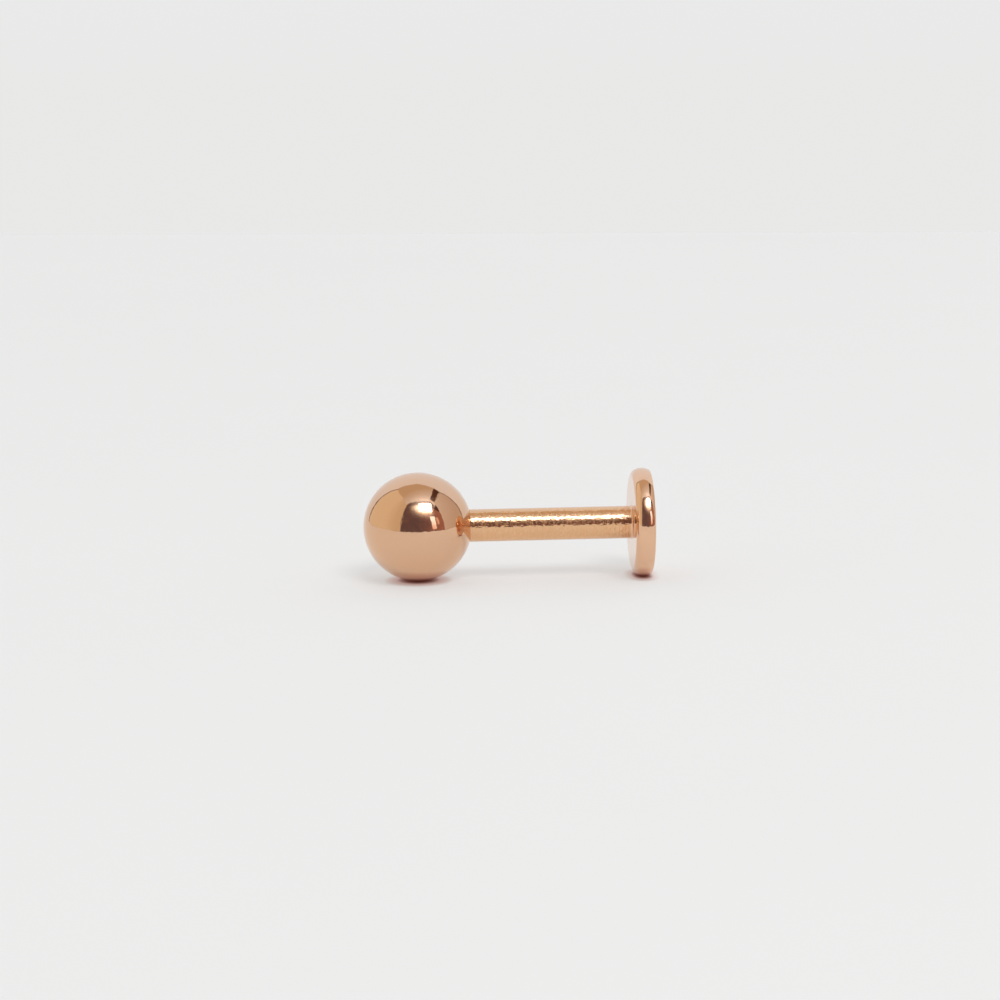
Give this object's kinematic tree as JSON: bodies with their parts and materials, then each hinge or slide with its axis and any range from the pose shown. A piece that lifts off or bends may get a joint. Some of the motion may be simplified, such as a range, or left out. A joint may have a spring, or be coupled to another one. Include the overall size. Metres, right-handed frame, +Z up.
{
  "type": "labret stud",
  "caption": "Polished labret stud: straight post with a flat disc back and a screw-on ball, for a lip, ear or other small piercing.",
  "frame": {"origin": "on the surface that the stud lies on, under its axis, half way between the ball's free end and the disc's outer face", "axes": "+X along the post from the ball to the disc, +Z up from the surface"},
  "size_m": [0.0106, 0.004, 0.004],
  "materials": {
    "rose_gold": "mirror-polished rose-gold coloured plating on steel"
  },
  "bodies": {
    "post": {"post": "rose_gold"},
    "ball": {"ball": "rose_gold"}
  },
  "joints": [
    {"name": "ball_unscrew", "type": "slide", "parent": "post", "child": "ball", "axis": [-1, 0, 0], "range_m": [0, 0.008]}
  ]
}
